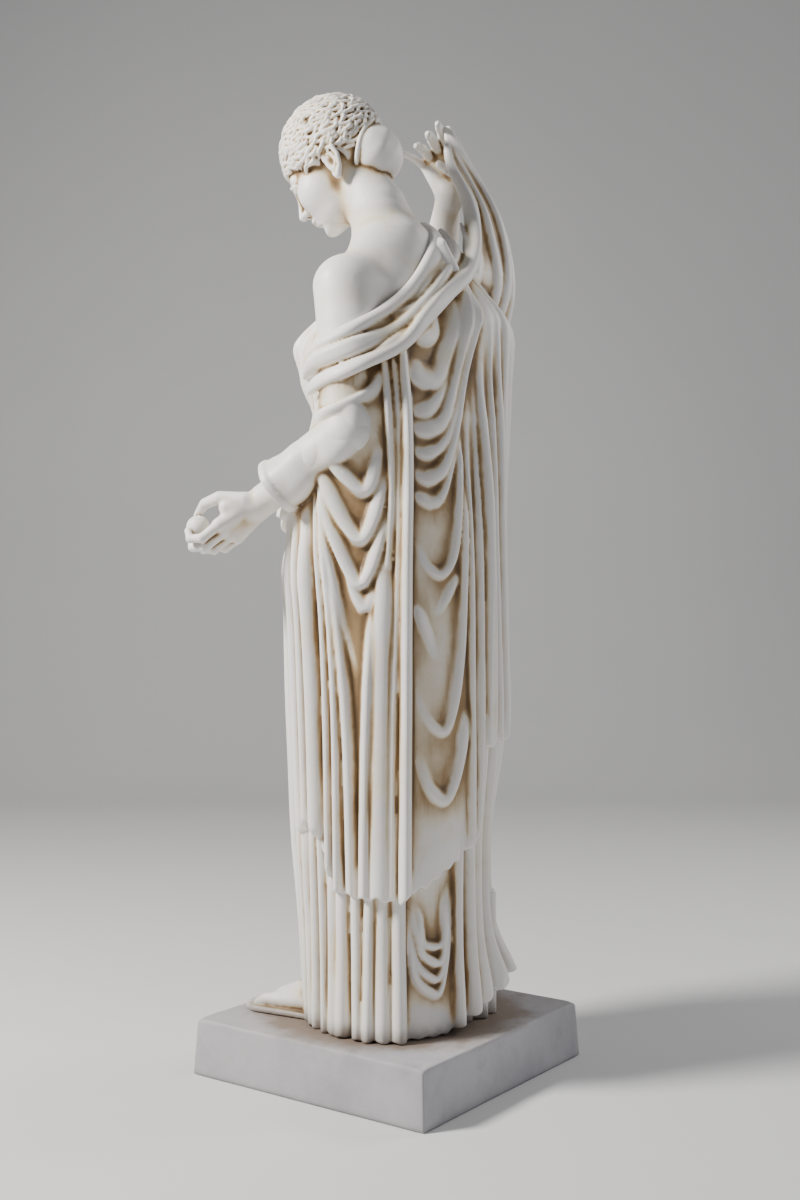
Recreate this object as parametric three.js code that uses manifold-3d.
// A standing draped woman in marble, one arm raised to hold up her mantle, on a square plinth.
// Millimetres, +Z up. The figure faces -Y, so +X is her left. The origin is the middle of the plinth's underside.
import * as THREE from "three";
import { mergeVertices } from "three/addons/utils/BufferGeometryUtils.js";
import Module from "manifold-3d";

const wasm = await Module();
wasm.setup();

// ---------------------------------------------------------------- driving dimensions

const PLINTH_SIDE = 496; // at the top
const PLINTH_HEIGHT = 100;
const PLINTH_DRAFT = 6; // each side leans out by this much towards the floor
const PLINTH_EDGE = 4; // worn upper edge
const SEAT_GAP = 0.3; // between the plinth and the figure that stands on it

const FLOOR = PLINTH_HEIGHT + SEAT_GAP; // the figure's own underside
const MEAN_GIRTH = 200; // radius that turns an angle of drapery into a width

// Joints of the arms. Her left arm hangs and bends forward at the elbow, her right arm is raised.
const LEFT_ARM = {
  shoulder: [153, 10, 1396],
  elbow: [196, 54, 1134],
  wrist: [232, -112, 1018],
};
const RIGHT_ARM = {
  shoulder: [-138, -30, 1462],
  elbow: [-352, -150, 1466],
  wrist: [-256, -44, 1652],
};
const BALL_RADIUS = 21;

const HEAD = { centre: [20, -114, 1660], turn: 16, bow: 33 }; // degrees

// ---------------------------------------------------------------- small maths

const rad = THREE.MathUtils.degToRad;
const { lerp, clamp, smoothstep } = THREE.MathUtils;
const vec = (p) => new THREE.Vector3(...p);

// Azimuths turn from her front, -Y, through her left, +X, to her back, +Y.
const around = (azimuth, radius, z) =>
  new THREE.Vector3(
    radius * Math.sin(rad(azimuth)),
    -radius * Math.cos(rad(azimuth)),
    z,
  );

const turnBetween = (a, b) => ((((a - b) % 360) + 540) % 360) - 180;

function spline(p0, p1, p2, p3, t) {
  const v0 = (p2 - p0) / 2;
  const v1 = (p3 - p1) / 2;
  return (
    (2 * p1 - 2 * p2 + v0 + v1) * t ** 3 +
    (-3 * p1 + 3 * p2 - 2 * v0 - v1) * t ** 2 +
    v0 * t +
    p1
  );
}

// A row of a table of stations at height z, each column splined along the first one.
function station(table, z) {
  const last = table.length - 1;
  let i = table.findIndex((row) => row[0] > z) - 1;
  if (z <= table[0][0]) i = 0;
  if (z >= table[last][0]) i = last - 1;
  const at = (k) => table[clamp(k, 0, last)];
  const t = clamp((z - at(i)[0]) / (at(i + 1)[0] - at(i)[0]), 0, 1);
  return at(i)
    .slice(1)
    .map((_, c) =>
      spline(at(i - 1)[c + 1], at(i)[c + 1], at(i + 1)[c + 1], at(i + 2)[c + 1], t),
    );
}

// ---------------------------------------------------------------- solids

// A closed mesh from rings of points, each ring with the same count, with a flat fan at each end.
function loft(rings) {
  const sides = rings[0].length;
  const points = rings.flat();
  const index = [];
  for (let r = 0; r + 1 < rings.length; r++)
    for (let s = 0; s < sides; s++) {
      const a = r * sides + s;
      const b = r * sides + ((s + 1) % sides);
      index.push(a, b, b + sides, a, b + sides, a + sides);
    }
  for (const [ring, flip] of [
    [0, true],
    [rings.length - 1, false],
  ]) {
    const middle = points.length;
    points.push(
      rings[ring]
        .reduce((sum, p) => sum.add(p), new THREE.Vector3())
        .divideScalar(sides),
    );
    for (let s = 0; s < sides; s++) {
      const a = ring * sides + s;
      const b = ring * sides + ((s + 1) % sides);
      index.push(middle, flip ? b : a, flip ? a : b);
    }
  }
  return new THREE.BufferGeometry().setFromPoints(points).setIndex(index);
}

function toSolid(geometry) {
  const plain = geometry.clone();
  plain.deleteAttribute("normal");
  plain.deleteAttribute("uv");
  const merged = mergeVertices(plain, 1e-3);
  const solid = new wasm.Manifold(
    new wasm.Mesh({
      numProp: 3,
      vertProperties: merged.attributes.position.array,
      triVerts: new Uint32Array(merged.index.array),
    }),
  );
  if (solid.volume() > 0) return solid;
  const index = merged.index.array;
  for (let i = 0; i < index.length; i += 3)
    [index[i + 1], index[i + 2]] = [index[i + 2], index[i + 1]];
  return toSolid(merged);
}

const join = (geometries) =>
  geometries.map(toSolid).reduce((sum, solid) => sum.add(solid));

function toGeometry(solid) {
  const mesh = solid.getMesh();
  const geometry = new THREE.BufferGeometry();
  geometry.setAttribute(
    "position",
    new THREE.BufferAttribute(new Float32Array(mesh.vertProperties), 3),
  );
  geometry.setIndex(new THREE.BufferAttribute(mesh.triVerts, 1));
  geometry.computeVertexNormals();
  return geometry;
}

// ---------------------------------------------------------------- rounded forms

// A form is a function that gives a point's distance outside a rounded shape.
const egg = (centre, radii) => {
  const c = vec(centre);
  const r = vec(radii);
  return (p) => {
    const q = p.clone().sub(c).divide(r);
    const k0 = q.length();
    const k1 = q.divide(r).length();
    return k1 === 0 ? -Math.min(...radii) : (k0 * (k0 - 1)) / k1;
  };
};

const bone = (from, to, r0, r1) => {
  const a = vec(from);
  const ab = vec(to).sub(a);
  return (p) => {
    const t = clamp(p.clone().sub(a).dot(ab) / ab.lengthSq(), 0, 1);
    return p.distanceTo(a.clone().addScaledVector(ab, t)) - lerp(r0, r1, t);
  };
};

const blend =
  (softness, ...forms) =>
  (p) =>
    forms
      .map((form) => form(p))
      .reduce((a, b) => {
        const h = Math.max(softness - Math.abs(a - b), 0) / softness;
        return Math.min(a, b) - (h * h * softness) / 4;
      });

// Walks from outside towards a target until it meets the form.
function meet(form, target, direction, reach) {
  const p = target.clone().addScaledVector(direction, reach);
  for (let i = 0; i < 60; i++) {
    const d = form(p);
    if (d < 0.05) break;
    p.addScaledVector(direction, -Math.min(d * 0.8, p.distanceTo(target)));
    if (p.distanceTo(target) < 0.5) break;
  }
  return p;
}

// A sphere's points drawn in along their rays until they lie on the form.
function wrap(form, centre, reach, columns, rows) {
  const geometry = new THREE.SphereGeometry(1, columns, rows);
  const place = geometry.attributes.position;
  const middle = vec(centre);
  for (let i = 0; i < place.count; i++) {
    const direction = new THREE.Vector3().fromBufferAttribute(place, i).normalize();
    place.setXYZ(i, ...meet(form, middle, direction, reach).toArray());
  }
  return geometry;
}

// A round limb through given points, with a radius at each of them.
function limb(points, radii, sides, steps) {
  const curve = new THREE.CatmullRomCurve3(points.map(vec), false, "centripetal");
  const frames = curve.computeFrenetFrames(steps);
  const rings = [];
  for (let i = 0; i <= steps; i++) {
    const t = i / steps;
    const at = t * (radii.length - 1);
    const k = Math.min(Math.floor(at), radii.length - 2);
    const radius = lerp(radii[k], radii[k + 1], at - k);
    const centre = curve.getPoint(t);
    rings.push(
      Array.from({ length: sides }, (_, s) => {
        const turn = (s / sides) * 2 * Math.PI;
        return centre
          .clone()
          .addScaledVector(frames.normals[i], radius * Math.cos(turn))
          .addScaledVector(frames.binormals[i], radius * Math.sin(turn));
      }),
    );
  }
  return loft(rings);
}

// ---------------------------------------------------------------- torso and neck

// Height, middle x and y, then the half widths to her left, right, front and back.
const TORSO = [
  [1180, 2, -15, 60, 60, 50, 50],
  [1230, 2, -15, 70, 70, 56, 56],
  [1280, 4, -22, 128, 130, 102, 98],
  [1350, 2, -16, 136, 146, 104, 108],
  [1405, 0, -10, 134, 152, 86, 104],
  [1445, 0, -8, 104, 140, 72, 90],
  [1482, 2, -10, 80, 120, 60, 86],
  [1520, 6, -15, 58, 90, 52, 80],
  [1548, 7, -19, 51, 60, 49, 64],
  [1575, 8, -23, 49, 50, 49, 52],
  [1640, 9, -52, 50, 50, 50, 54],
];
const TORSO_SIDES = 16;
const TORSO_STEP = 40;

function torso() {
  const rings = [];
  for (let z = 1190; z <= 1640; z += TORSO_STEP) {
    const [x, y, left, right, front, back] = station(TORSO, z);
    rings.push(
      Array.from({ length: TORSO_SIDES }, (_, s) => {
        const sine = Math.sin((s / TORSO_SIDES) * 2 * Math.PI);
        const cosine = Math.cos((s / TORSO_SIDES) * 2 * Math.PI);
        return new THREE.Vector3(
          x + sine * (sine > 0 ? left : right),
          y - cosine * (cosine > 0 ? front : back),
          z,
        );
      }),
    );
  }
  return loft(rings);
}

// ---------------------------------------------------------------- drapery: surfaces

// The mantle's outer radius at each height, in these eight directions.
const COMPASS = [36, 81, 126, 171, 216, 261, 306, 351];
const GIRTH = [
  [100, 160, 188, 220, 206, 192, 184, 168, 156],
  [250, 170, 190, 216, 196, 190, 188, 176, 164],
  [420, 184, 196, 212, 194, 188, 198, 188, 172],
  [600, 192, 200, 210, 196, 212, 214, 198, 174],
  [800, 198, 206, 208, 194, 210, 216, 186, 170],
  [1000, 196, 216, 204, 186, 206, 222, 172, 158],
  [1170, 152, 176, 190, 168, 208, 238, 150, 142],
  [1250, 176, 164, 178, 152, 208, 246, 158, 152],
  [1330, 144, 150, 172, 142, 210, 254, 152, 144],
  [1440, 112, 120, 130, 124, 206, 262, 126, 110],
  [1560, 44, 44, 50, 70, 180, 262, 44, 44],
];

function girth(azimuth, z) {
  const row = station(GIRTH, z);
  const at = ((((azimuth - COMPASS[0]) % 360) + 360) % 360) / 45;
  const k = Math.floor(at);
  const value = (i) => row[(i + 8) % 8];
  return spline(value(k - 1), value(k), value(k + 1), value(k + 2), at - k);
}

// The body under the cloth swells it out in these places: breasts, right knee, train, belt.
const SWELLINGS = [
  { azimuth: 34, z: 1318, width: 46, tall: 42, height: 40 },
  { azimuth: 322, z: 1322, width: 46, tall: 42, height: 36 },
  { azimuth: 324, z: 590, width: 74, tall: 130, height: 24 },
  { azimuth: 320, z: 1128, width: 150, tall: 24, height: 14 },
  { azimuth: 20, z: 1118, width: 150, tall: 24, height: 14 },
  { azimuth: 212, z: 150, width: 70, tall: 80, height: 54 },
];

const swelling = (azimuth, z) =>
  SWELLINGS.reduce((sum, s) => {
    const across = (rad(turnBetween(azimuth, s.azimuth)) * MEAN_GIRTH) / s.width;
    const up = (z - s.z) / s.tall;
    return sum + s.height * Math.exp(-(across ** 2) - up ** 2);
  }, 0);

const MANTLE_THICKNESS = 16;
const mantleRadius = (azimuth, z) => girth(azimuth, z) + swelling(azimuth, z);
const dressRadius = (azimuth, z) => mantleRadius(azimuth, z) - MANTLE_THICKNESS;

// A height for any azimuth, read along a list of [azimuth, height] pairs from 0 to 360.
function along(pairs, azimuth) {
  const a = ((azimuth % 360) + 360) % 360;
  const k = clamp(pairs.findIndex(([at]) => at > a) - 1, 0, pairs.length - 2);
  const [a0, z0] = pairs[k];
  const [a1, z1] = pairs[k + 1];
  return lerp(z0, z1, clamp((a - a0) / (a1 - a0), 0, 1));
}

const MANTLE_LEFT = 62; // the mantle covers her left side, back and right side
const MANTLE_RIGHT = 288;
const MANTLE_HEM = [
  [0, 452], [66, 452], [72, 430], [78, 470], [82, 428], [90, 408], [92, 346], [131, 340],
  [150, 372], [171, 412], [180, 424], [182, 590], [230, 602], [288, 560], [360, 452],
];
const MANTLE_TOP = [
  [0, 1110], [62, 1110], [80, 1190], [100, 1275], [131, 1345], [165, 1408], [195, 1468],
  [220, 1512], [247, 1548], [360, 1548],
];
const DRESS_TOP = [
  [0, 1392], [45, 1352], [90, 1340], [131, 1386], [165, 1448], [195, 1500], [230, 1520],
  [275, 1500], [320, 1440], [360, 1392],
];
const SKIRT_HEM = [
  [0, 128], [20, 136], [44, 126], [58, 101], [158, 101], [176, 124], [196, 158], [214, 184],
  [236, 172], [256, 122], [272, 103], [290, 116], [312, 128], [334, 112], [360, 128],
];

// ---------------------------------------------------------------- drapery: dress

const PLEATS = 22;
const PLEAT_DEPTH = 13;
const CORE = 40; // the figure's foot stands this far inside the skirt's hem
const UNDER = 16; // the dress lies this much deeper where the mantle covers it
const WAIST = 1140;

// Rows of the skirt and of the overfold that blouses over the belt: height, how far the cloth
// stands out, and how much of the pleats' depth it keeps.
const SKIRT_ROWS = [
  [120, 0, 1],
  [340, 0, 1],
  [590, 0, 0.9],
  [800, 0, 0.8],
  [985, 0, 0.6],
  [990, 15, 1.1],
  [1095, 19, 0.6],
  [WAIST, 0, 0.2],
];
const BODICE_ROWS = 6;
const BODICE_SAG = 34;
const BODICE_DEPTH = 5;

// A small fixed unevenness, so that no two folds in a row are alike.
const uneven = (i, seed) => Math.sin(i * 12.9898 + seed * 78.233);

// How much a place of the dress lies under the mantle, from 0 to 1.
function covered(azimuth, z) {
  const inArc = smoothstep(
    Math.min(azimuth - MANTLE_LEFT, MANTLE_RIGHT - azimuth), 3, 10,
  );
  const above = smoothstep(z - along(MANTLE_HEM, azimuth), 14, 50);
  const below = smoothstep(along(MANTLE_TOP, azimuth) - z, 10, 40);
  return inArc * above * below;
}

function dress() {
  const columns = PLEATS * 2;
  const ring = (place) =>
    Array.from({ length: columns }, (_, s) => place((s / columns) * 360, s));
  const pleat = (s) => (s % 2 ? -0.5 : 0.5 + 0.25 * uneven(s, 4)) * PLEAT_DEPTH;
  const foot = (z) => ring((a) => around(a, dressRadius(a, 110) - CORE, z(a)));
  const rings = [foot(() => FLOOR), foot((a) => along(SKIRT_HEM, a) + 4)];
  for (const [level, out, share] of SKIRT_ROWS)
    rings.push(
      ring((a, s) => {
        const z = Math.max(level, along(SKIRT_HEM, a)) + (out > 14 ? 9 * uneven(s >> 1, 9) : 0);
        const t = (z - FLOOR) / (WAIST - FLOOR);
        const lean = 4 * uneven(s >> 1, 5) * t + 16 * t * Math.sin(rad(a - 20)) ** 2 * (a > 270);
        const depth = pleat(s) * share * (1 - covered(a, z)) - UNDER * covered(a, z);
        return around(a + lean, dressRadius(a, z) + out + depth, z);
      }),
    );
  for (let i = 1; i <= BODICE_ROWS; i++)
    rings.push(
      ring((a) => {
        const t = i / BODICE_ROWS;
        const hang = Math.max(Math.cos(rad(turnBetween(a, 0) / 2)), 0) ** 8;
        const sag = BODICE_SAG * hang * Math.sin(Math.PI * t);
        const z = lerp(WAIST, along(DRESS_TOP, a), t) - sag;
        const wave = BODICE_DEPTH * (i % 2 ? 1 : -1);
        return around(a, dressRadius(a, z) + wave - UNDER * covered(a, z), z);
      }),
    );
  rings.push(ring((a) => around(a, dressRadius(a, 1450) * 0.6, along(DRESS_TOP, a) - 60)));
  return loft(rings);
}

// ---------------------------------------------------------------- drapery: mantle

// The mantle in four parts round the body: its end over the left forearm, the bundle at its
// corner, the back panel and the right side. Each part runs between these azimuths at the hem
// and at the top, and has upright folds, hanging folds or both.
const MANTLE_PARTS = [
  { hem: [62, 99], top: [62, 116], columns: 8, upright: 14, swags: "left" },
  { hem: [99, 134], top: [116, 136], columns: 8, upright: 17, swags: "left" },
  { hem: [134, 186], top: [136, 226], columns: 7, upright: 0, swags: "back" },
  { hem: [186, 288], top: [226, 288], columns: 14, upright: 15, swags: "none" },
];
const MANTLE_ROWS = 18;
const BACK_SWAG = { from: 134, to: 206, low: 0.42, sag: 118, depth: 9 };
const LEFT_SWAG = { from: 64, to: 122, low: 0.5, sag: 96, depth: 9, above: 930 };
const LIP = 20; // thickness of the mantle's upper edge

// A hanging fold's drop at an azimuth, from 0 at its ends to 1 at its lowest place.
function hang({ from, to, low }, azimuth) {
  const t = clamp((azimuth - from) / (to - from), 0, 1);
  const u = t < low ? t / low / 2 : 0.5 + (t - low) / (1 - low) / 2;
  return 4 * u * (1 - u);
}

function mantle() {
  const columns = MANTLE_PARTS.flatMap(({ hem, top, columns: count, upright, swags }, part) =>
    Array.from({ length: count }, (_, s) => ({
      low: lerp(...hem, s / count),
      high: lerp(...top, s / count),
      upright: upright * (s % 2 ? 0.55 + 0.3 * uneven(s + 9 * part, 2) : -0.45),
      swags,
    })),
  );
  columns.push({ low: MANTLE_RIGHT, high: MANTLE_RIGHT, upright: 0, swags: "none" });

  const place = ({ low, high, upright, swags }, row) => {
    const t = row / MANTLE_ROWS;
    const a = lerp(low, high, smoothstep(t, 0.35, 1));
    const flat = lerp(along(MANTLE_HEM, a), along(MANTLE_TOP, a), t);
    const ends = Math.min(smoothstep(t, 0, 0.14), 1 - smoothstep(t, 0.9, 1));
    const crest = row % 2 ? 1 : -0.7;
    let z = flat;
    let out = upright;
    if (swags === "back") {
      z -= BACK_SWAG.sag * hang(BACK_SWAG, a) * ends;
      out = BACK_SWAG.depth * crest * ends * (0.35 + 0.65 * hang(BACK_SWAG, a));
    }
    if (swags === "left") {
      const share = smoothstep(flat, LEFT_SWAG.above, LEFT_SWAG.above + 90) * ends;
      z -= LEFT_SWAG.sag * hang(LEFT_SWAG, a) * share;
      out = lerp(upright, LEFT_SWAG.depth * crest, share * Math.sqrt(hang(LEFT_SWAG, a)));
    }
    return around(a, mantleRadius(a, z) + out * Math.min(ends + 0.6, 1), z);
  };

  const buried = [
    [MANTLE_RIGHT - 2, 0.72],
    [330, 0.3],
    [20, 0.3],
    [MANTLE_LEFT + 2, 0.72],
  ];
  const inner = (height) =>
    buried.map(([a, share]) => around(a, mantleRadius(a, height(a)) * share, height(a)));
  const rings = [];
  for (let row = 0; row <= MANTLE_ROWS; row++) {
    const height = (a) => lerp(along(MANTLE_HEM, a), along(MANTLE_TOP, a), row / MANTLE_ROWS);
    rings.push([...columns.map((column) => place(column, row)), ...inner(height)]);
  }
  for (const [inset, drop] of [[LIP, 0], [LIP + 34, 30]]) {
    const height = (a) => along(MANTLE_TOP, a) - drop;
    rings.push([
      ...columns.map(({ high: a }) => around(a, mantleRadius(a, height(a)) - inset, height(a))),
      ...inner(height),
    ]);
  }
  return loft(rings);
}

// ---------------------------------------------------------------- drapery: lifted part and edges

// The rolled edges of the mantle and dress, as [x, y, z] lines with a radius each.
const ROLLS = [
  {
    radius: 29,
    points: [[-6, 76, 1424], [60, 86, 1364], [116, 84, 1316], [150, 60, 1290]],
  },
  {
    radius: 15,
    points: [[-72, -40, 1508], [-72, 14, 1540], [-38, 74, 1500], [14, 96, 1446], [74, 98, 1388],
      [136, 84, 1342], [204, 66, 1306], [212, 8, 1286], [170, -40, 1276], [128, -84, 1268]],
  },
  {
    radius: 15,
    points: [[-122, 26, 1546], [-84, 86, 1486], [-6, 112, 1424], [68, 116, 1364],
      [136, 106, 1312], [212, 78, 1276], [222, 12, 1258], [178, -42, 1250], [130, -88, 1250]],
  },
  {
    radius: 14,
    points: [[-204, -14, 1752], [-186, 6, 1690], [-172, 58, 1600], [-136, 94, 1518],
      [-66, 124, 1446], [8, 130, 1394], [76, 132, 1340], [136, 124, 1286], [210, 88, 1246],
      [226, 20, 1222], [196, -30, 1212]],
  },
];

// The part that the right hand lifts: at each height its inner edge, outer bend and front edge.
const LIFTED = [
  { inner: [-200, -20, 1768], outer: [-206, -8, 1770], front: [-212, -22, 1766] },
  { inner: [-186, 0, 1700], outer: [-230, 22, 1703], front: [-250, -14, 1700] },
  { inner: [-172, 52, 1600], outer: [-262, 66, 1600], front: [-300, -20, 1600] },
  { inner: [-140, 76, 1520], outer: [-282, 84, 1512], front: [-318, -30, 1510] },
  { inner: [-110, 100, 1440], outer: [-276, 92, 1430], front: [-314, -24, 1420] },
  { inner: [-80, 60, 1330], outer: [-250, 80, 1330], front: [-290, -20, 1300] },
  { inner: [-60, 40, 1180], outer: [-220, 60, 1180], front: [-236, -30, 1160] },
];
const SHEET = 15; // thickness of the lifted part

function lifted() {
  const rings = LIFTED.map(({ inner, outer, front }) => {
    const bend = new THREE.QuadraticBezierCurve3(
      vec(inner),
      vec(outer).multiplyScalar(2).addScaledVector(vec(inner).add(vec(front)), -0.5),
      vec(front),
    );
    const outside = bend.getPoints(5);
    const hollow = new THREE.Vector3(0.64, -0.77, 0).multiplyScalar(SHEET);
    const inside = outside.map((p) => p.clone().add(hollow)).reverse();
    return [...outside, ...inside];
  });
  return loft(rings);
}

// ---------------------------------------------------------------- arms and sleeve

// The stone that is left standing between the left arm and the body.
const UNDERARM = [[92, 34, 1336], [136, 40, 1262], [154, 6, 1140]];

const knob = (centre, radius) => new THREE.SphereGeometry(radius, 10, 6).translate(...centre);

const arms = () => [
  limb([[108, 8, 1412], LEFT_ARM.shoulder, LEFT_ARM.elbow], [36, 52, 43], 10, 5),
  limb([LEFT_ARM.elbow, LEFT_ARM.wrist], [44, 27], 10, 1),
  limb([[-100, -12, 1440], RIGHT_ARM.shoulder, RIGHT_ARM.elbow], [44, 54, 41], 10, 5),
  limb([RIGHT_ARM.elbow, RIGHT_ARM.wrist], [41, 27], 10, 1),
  knob(RIGHT_ARM.elbow, 43),
  limb(UNDERARM, [46, 54, 54], 8, 3),
];

// Cloth round the left elbow and forearm, gathered into rounds and ending in a cuff.
const SLEEVE = [[186, 46, 1190], [196, 52, 1128], [213, -20, 1080], [226, -76, 1042]];
const SLEEVE_RADII = [44, 49, 43, 47, 41, 47, 43, 51, 50];

// ---------------------------------------------------------------- hands

const PALM_LENGTH = 88;
const PALM_HALF_WIDTH = 38;
const PALM_HALF_THICK = 14;
const FINGER_BONES = [40, 26, 21];
// Index to little finger: place across the palm, reach along it, size.
const FINGERS = [
  { across: 27, along: 84, size: 0.96 },
  { across: 9, along: 88, size: 1.04 },
  { across: -9, along: 84, size: 0.97 },
  { across: -26, along: 76, size: 0.8 },
];

// A hand from its wrist, the way its fingers point, the way its palm faces and which side the
// thumb is on. Each finger bends towards the palm by its own three angles.
function handFrame({ forward, palm, side }) {
  const f = vec(forward).normalize();
  const n = vec(palm).addScaledVector(f, -vec(palm).dot(f)).normalize();
  const t = new THREE.Vector3().crossVectors(n, f).multiplyScalar(side);
  return { f, n, t };
}

function hand({ wrist, curls, splay, thumb, ...pose }) {
  const { f, n, t } = handFrame(pose);
  const at = (along, across, up) =>
    vec(wrist)
      .addScaledVector(f, along)
      .addScaledVector(t, across)
      .addScaledVector(n, up);
  const rings = [-8, 12, 46, PALM_LENGTH].map((along, i) => {
    const share = [0.64, 0.7, 1.04, 1][i];
    const thick = [1.6, 1.5, 1.1, 0.7][i];
    return Array.from({ length: 9 }, (_, s) => {
      const turn = (s / 9) * 2 * Math.PI;
      return at(
        along,
        PALM_HALF_WIDTH * share * Math.cos(turn),
        PALM_HALF_THICK * thick * Math.sin(turn),
      );
    });
  });
  const solids = [loft(rings)];
  FINGERS.forEach(({ across, along, size }, i) => {
    let point = at(along - 8, across, -2);
    const points = [point.toArray()];
    FINGER_BONES.forEach((bone, j) => {
      const bend = rad(curls[i][j]);
      point = point
        .clone()
        .addScaledVector(f, bone * size * Math.cos(bend))
        .addScaledVector(n, bone * size * Math.sin(bend))
        .addScaledVector(t, bone * size * Math.sin(rad(splay[i])));
      points.push(point.toArray());
    });
    solids.push(limb(points, [10, 9, 8, 5].map((r) => r * size), 4, 4));
  });
  const thumbLine = thumb.map(([along, across, up]) => at(along, across, up).toArray());
  solids.push(limb(thumbLine, [13, 12, 9, 6], 4, 4));
  return solids;
}

const LEFT_HAND = {
  wrist: LEFT_ARM.wrist,
  forward: [0.44, -0.61, -0.66],
  palm: [-0.5, -0.2, 0.84],
  side: 1,
  curls: [[0, 48, 104], [2, 50, 106], [6, 54, 108], [12, 62, 110]],
  splay: [3, 0, -3, -6],
  thumb: [[16, 26, 6], [46, 42, 34], [74, 34, 58], [98, 18, 67]],
};
const BALL_PLACE = { along: 110, across: 16, up: 43 };

const RIGHT_HAND = {
  wrist: RIGHT_ARM.wrist,
  forward: [0.35, -0.2, 0.92],
  palm: [0.8, 0.52, -0.2],
  side: -1,
  curls: [[34, 56, 74], [52, 74, 86], [58, 78, 88], [52, 66, 72]],
  splay: [0, -4, -12, -26],
  thumb: [[14, 26, 8], [30, 26, 26], [44, 12, 40], [58, 2, 46]],
};

function ball() {
  const { f, n, t } = handFrame(LEFT_HAND);
  const centre = vec(LEFT_HAND.wrist)
    .addScaledVector(f, BALL_PLACE.along)
    .addScaledVector(t, BALL_PLACE.across)
    .addScaledVector(n, BALL_PLACE.up);
  return new THREE.SphereGeometry(BALL_RADIUS, 10, 8).translate(...centre.toArray());
}

// ---------------------------------------------------------------- head

// Places on the head are [to her left, to the back, up], in its own turned and bowed frame.
const headForward = around(HEAD.turn, Math.cos(rad(HEAD.bow)), -Math.sin(rad(HEAD.bow)));
const headLeft = new THREE.Vector3(Math.cos(rad(HEAD.turn)), Math.sin(rad(HEAD.turn)), 0);
const headFrame = new THREE.Matrix4()
  .makeBasis(
    headLeft,
    headForward.clone().negate(),
    new THREE.Vector3().crossVectors(headForward, headLeft),
  )
  .setPosition(vec(HEAD.centre));

const SKULL = egg([0, 12, 20], [70, 92, 84]);
const FACE = egg([0, -32, -28], [57, 60, 80]);
const JAW = egg([0, -34, -72], [45, 48, 36]);
const CHIN = egg([0, -70, -98], [18, 20, 16]);
const BROW = bone([-34, -79, 4], [34, -79, 4], 12, 12);
const NECK = bone([2, 22, -30], [12, 26, -124], 46, 47);
const face = blend(16, SKULL, FACE, JAW, CHIN, BROW, NECK);

const HAIR = egg([0, 12, 30], [81, 99, 94]);
const LOCK_WIDTH = 26; // across one lock of hair
const LOCK_DEPTH = 5;
const hairline = ([, back, up]) => -(0.5 * (back + 88) + 0.866 * (up - 32));
const locks = (p) =>
  LOCK_DEPTH *
  Math.sin((Math.PI * (p.x + 0.5 * p.z)) / LOCK_WIDTH) *
  Math.sin((Math.PI * (p.y - 0.6 * p.z)) / LOCK_WIDTH + 0.6);
const hair = (p) => Math.max(HAIR(p) + locks(p), hairline(p.toArray()));

const HAIR_BAG = { centre: [0, 72, -34], radii: [58, 52, 56] };

function head() {
  const bag = wrap(egg(HAIR_BAG.centre, HAIR_BAG.radii), HAIR_BAG.centre, 90, 10, 8);
  const solids = [
    wrap(face, [0, -10, -10], 180, 18, 14),
    wrap(hair, [0, 20, 40], 180, 20, 11),
    bag,
    limb([[0, -86, 2], [0, -98, -26], [0, -107, -47]], [7, 8, 9], 6, 3),
    limb([[-9, -95, -49], [9, -95, -49]], [7, 7], 6, 1),
    limb([[-22, -76, -70], [0, -86, -68], [22, -76, -70]], [4, 7, 4], 5, 4),
    limb([[-17, -75, -78], [0, -84, -79], [17, -75, -78]], [5, 7, 5], 5, 4),
  ];
  for (const side of [-1, 1]) {
    const eye = new THREE.SphereGeometry(14, 8, 6).translate(side * 31, -74, -6);
    const lid = [[12, -86, -9], [22, -90, 0], [38, -87, 1], [48, -76, -7]];
    const ear = [[70, 6, -8], [76, 18, -4], [79, 27, -18], [76, 19, -44], [70, 6, -58]];
    solids.push(
      eye,
      limb(lid.map(([x, y, z]) => [side * x, y, z]), [3, 4, 4, 3], 3, 3),
      limb(ear.map(([x, y, z]) => [side * x, y, z]), [6, 6, 6, 6, 6], 4, 5),
      wrap(egg([side * 70, 12, -30], [8, 13, 24]), [side * 70, 12, -30], 40, 7, 5),
    );
  }
  return solids.map((solid) => solid.applyMatrix4(headFrame));
}

// ---------------------------------------------------------------- feet

// Each foot points along its azimuth from its heel. The right one stands on its toes.
const FEET = [
  { heel: [92, 10], azimuth: 4, lift: 0 },
  { heel: [-66, 20], azimuth: 340, lift: 34 },
];
const FOOT_LENGTH = 222;
const SOLE = 10;

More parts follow.
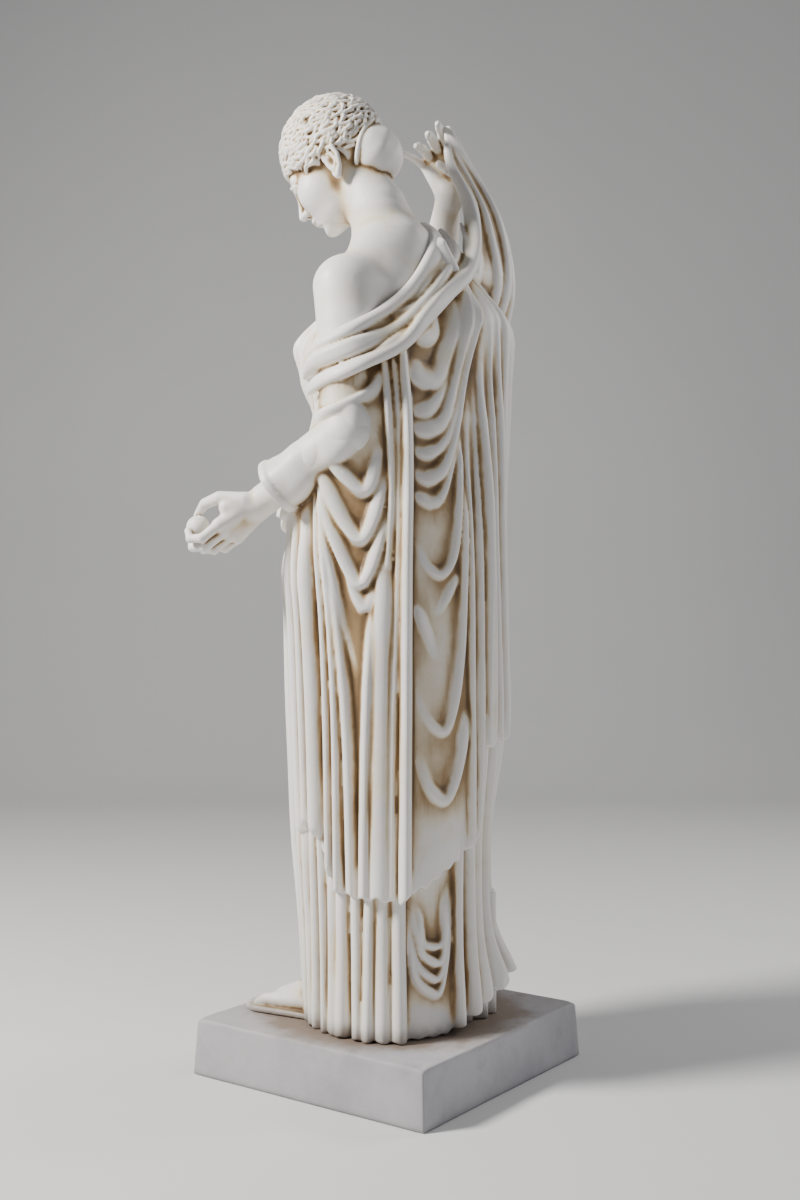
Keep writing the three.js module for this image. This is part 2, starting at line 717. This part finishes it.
function foot({ heel, azimuth, lift }) {
  const forward = around(azimuth, 1, 0);
  const side = new THREE.Vector3(-forward.y, forward.x, 0);
  const at = (along, across, up) =>
    new THREE.Vector3(heel[0], heel[1], FLOOR + up)
      .addScaledVector(forward, along)
      .addScaledVector(side, across);
  const raised = (along) => lift * (1 - smoothstep(along, 0, FOOT_LENGTH * 0.7));
  const rings = [0, 110, 160, 190].map((along, i) => {
    const width = [28, 34, 42, 40][i];
    const tall = [70, 52, 30, 22][i];
    return Array.from({ length: 8 }, (_, s) => {
      const turn = (s / 8) * 2 * Math.PI;
      const up = Math.max(Math.sin(turn) * tall, 0) + raised(along);
      return at(along, width * Math.cos(turn), up);
    });
  });
  const solids = [loft(rings)];
  for (let i = 0; i < 5; i++) {
    const across = 31 - 15.5 * i;
    const reach = FOOT_LENGTH - [4, 0, 6, 14, 26][i];
    const radius = [13, 10, 9, 8.5, 8][i];
    solids.push(
      limb(
        [at(172, across, SOLE + 12), at(reach, across, SOLE + 6)].map((p) => p.toArray()),
        [radius, radius * 0.75], 5, 1,
      ),
    );
  }
  return solids;
}

// ---------------------------------------------------------------- plinth

function plinth() {
  const half = PLINTH_SIDE / 2;
  const square = (reach, z) =>
    [45, 135, 225, 315].map((turn) =>
      new THREE.Vector3(
        Math.sign(Math.cos(rad(turn))) * reach,
        Math.sign(Math.sin(rad(turn))) * reach,
        z,
      ),
    );
  return loft([
    square(half + PLINTH_DRAFT, 0),
    square(half, PLINTH_HEIGHT - PLINTH_EDGE),
    square(half - PLINTH_EDGE, PLINTH_HEIGHT),
  ]);
}

// ---------------------------------------------------------------- the model

const marble = new THREE.MeshStandardMaterial({ color: 0xe9e2d2, roughness: 0.55 });
const greyStone = new THREE.MeshStandardMaterial({ color: 0x9c9a9c, roughness: 0.7 });

const figure = new THREE.Mesh(
  toGeometry(
    join([
      dress(),
      mantle(),
      lifted(),
      ...ROLLS.map(({ radius, points }) => limb(points, points.map(() => radius), 5, 8)),
      torso(),
      ...arms(),
      limb(SLEEVE, SLEEVE_RADII, 11, 8),
      ...hand(LEFT_HAND),
      ...hand(RIGHT_HAND),
      ball(),
      ...head(),
      ...FEET.flatMap(foot),
    ]),
  ),
  marble,
);
figure.name = "figure";

const base = new THREE.Mesh(plinth(), greyStone);
base.name = "plinth";

const statue = new THREE.Group();
statue.name = "statue";
statue.add(figure, base);

export default statue;
